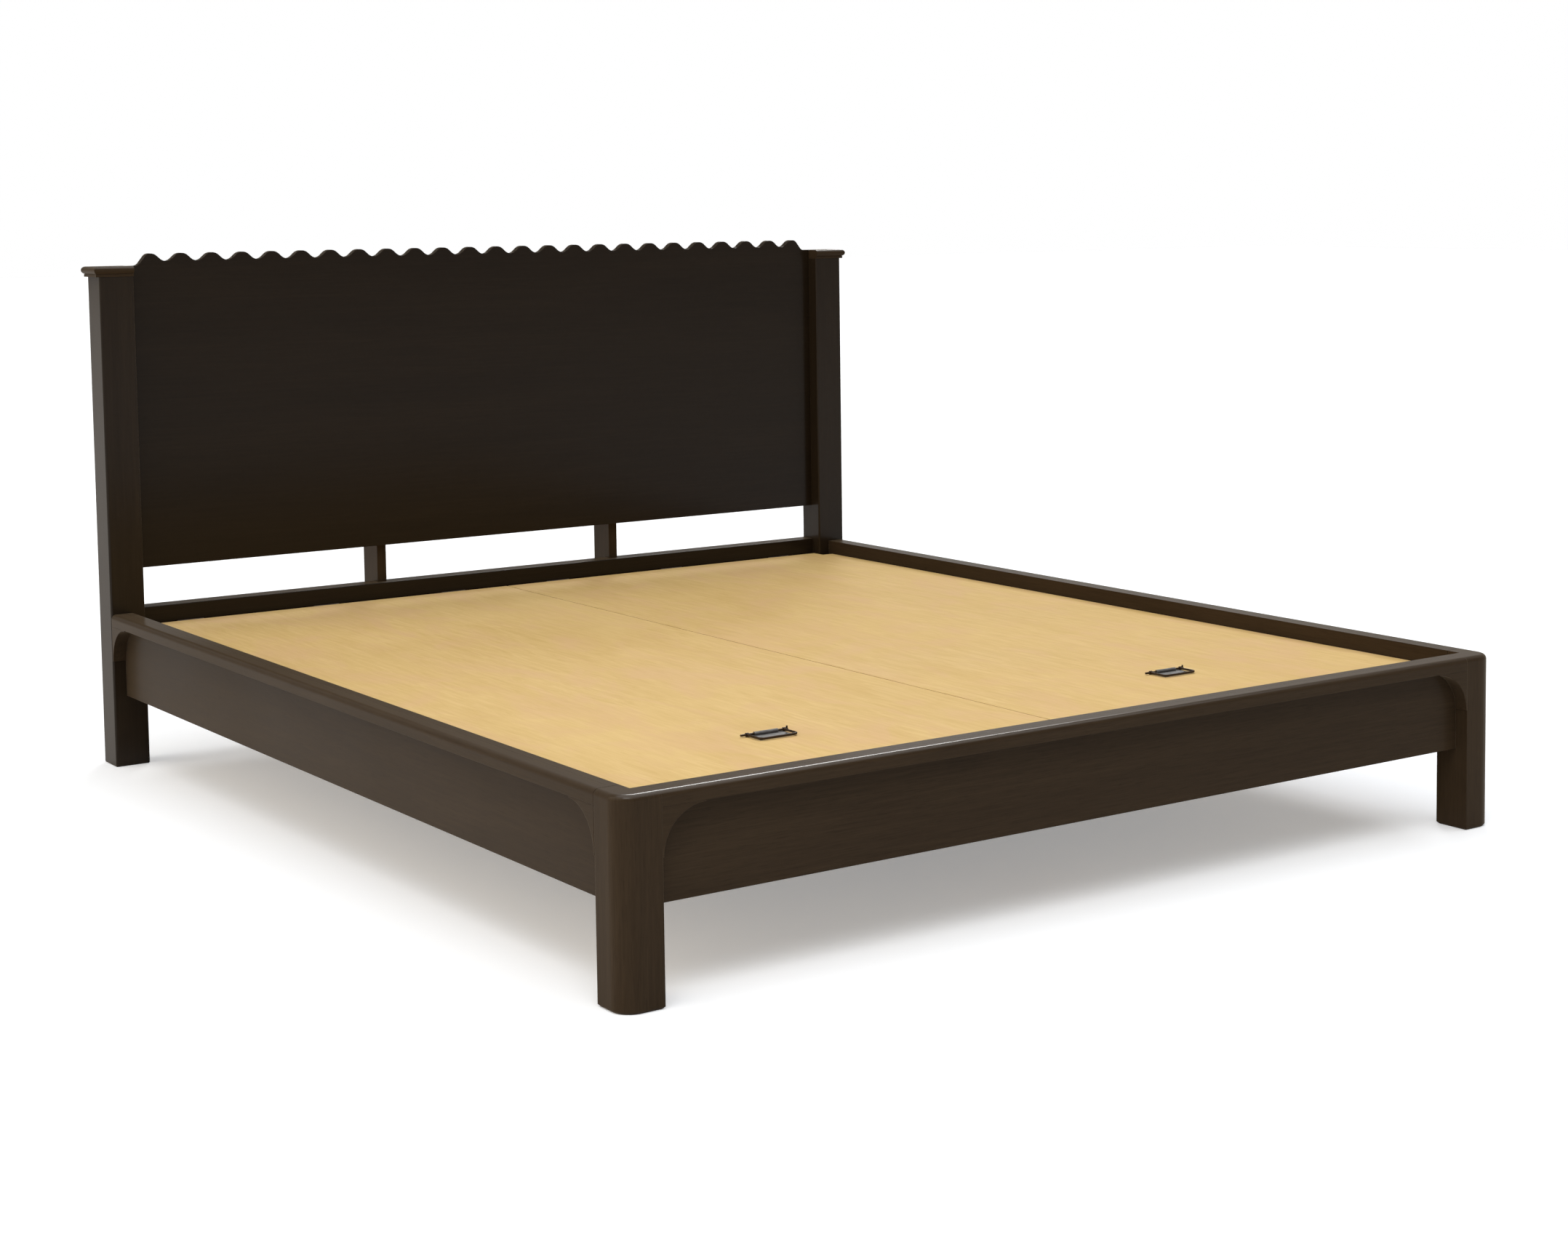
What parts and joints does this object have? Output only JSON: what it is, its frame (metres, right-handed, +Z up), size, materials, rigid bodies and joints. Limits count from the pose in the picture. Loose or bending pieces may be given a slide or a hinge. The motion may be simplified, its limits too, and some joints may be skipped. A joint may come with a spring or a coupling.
{
  "type": "platform bed",
  "caption": "Dark wood platform bed with a scalloped headboard, arched rail corners and hinged plywood storage lids with folding ring handles.",
  "frame": {"origin": "centre of the bounding box's base, on the floor under the middle of the bed", "axes": "+Z up, +Y towards the headboard, +X to the right seen from the foot"},
  "size_m": [1.954, 2.31, 1.113],
  "materials": {
    "espresso_wood": "satin stain",
    "softwood": "planed, unfinished",
    "floor_ply": "sanded plywood",
    "platform_ply": "sanded plywood, thin clear coat",
    "zinc_steel": "zinc plated",
    "hinge_steel": "plated",
    "handle_steel": "dull plated",
    "black_wire": "black lacquer",
    "glide_plastic": "moulded"
  },
  "bodies": {
    "frame": {"left_foot_leg": "espresso_wood", "right_foot_leg": "espresso_wood", "foot_rail_panel": "espresso_wood", "foot_rail_band": "espresso_wood", "left_foot_arch_block": "espresso_wood", "right_foot_arch_block": "espresso_wood", "left_side_rail_panel": "espresso_wood", "right_side_rail_panel": "espresso_wood", "left_side_rail_band": "espresso_wood", "right_side_rail_band": "espresso_wood", "left_side_front_arch_block": "espresso_wood", "left_side_rear_arch_block": "espresso_wood", "right_side_front_arch_block": "espresso_wood", "right_side_rear_arch_block": "espresso_wood", "left_headboard_post": "espresso_wood", "right_headboard_post": "espresso_wood", "left_post_cap": "espresso_wood", "right_post_cap": "espresso_wood", "headboard_panel": "espresso_wood", "head_rail": "espresso_wood", "left_headboard_rib": "espresso_wood", "right_headboard_rib": "espresso_wood", "left_side_cleat": "softwood", "right_side_cleat": "softwood", "foot_cleat": "softwood", "centre_beam": "softwood", "front_centre_leg": "softwood", "rear_centre_leg": "softwood", "floor_battens": "softwood", "left_storage_floor": "floor_ply", "right_storage_floor": "floor_ply", "rail_hook_plates": "zinc_steel", "post_keyhole_plates": "zinc_steel", "cleat_screws": "zinc_steel", "rail_hinge_screws": "zinc_steel", "lid_hinge_fixed_leaves": "hinge_steel", "lid_hinge_pins": "hinge_steel", "centre_leg_glides": "glide_plastic"},
    "left_lid": {"left_platform_panel": "platform_ply", "left_lid_hinge_leaves": "hinge_steel", "left_lid_hinge_screws": "zinc_steel", "left_handle_plate": "handle_steel", "left_handle_pin": "black_wire", "left_handle_screws": "handle_steel"},
    "right_lid": {"right_platform_panel": "platform_ply", "right_lid_hinge_leaves": "hinge_steel", "right_lid_hinge_screws": "zinc_steel", "right_handle_plate": "handle_steel", "right_handle_pin": "black_wire", "right_handle_screws": "handle_steel"},
    "left_handle": {"left_handle_bail": "black_wire"},
    "right_handle": {"right_handle_bail": "black_wire"}
  },
  "joints": [
    {"name": "left_lid_hinge", "type": "hinge", "parent": "frame", "child": "left_lid", "pos_m": [-0.459, 1.055, 0.3], "axis": [-1, 0, 0], "range_deg": [0, 50]},
    {"name": "left_handle_hinge", "type": "hinge", "parent": "left_lid", "child": "left_handle", "pos_m": [-0.459, -0.779, 0.3069], "axis": [-1, 0, 0], "range_deg": [0, 100]},
    {"name": "right_lid_hinge", "type": "hinge", "parent": "frame", "child": "right_lid", "pos_m": [0.459, 1.055, 0.3], "axis": [-1, 0, 0], "range_deg": [0, 50]},
    {"name": "right_handle_hinge", "type": "hinge", "parent": "right_lid", "child": "right_handle", "pos_m": [0.459, -0.779, 0.3069], "axis": [-1, 0, 0], "range_deg": [0, 100]}
  ]
}
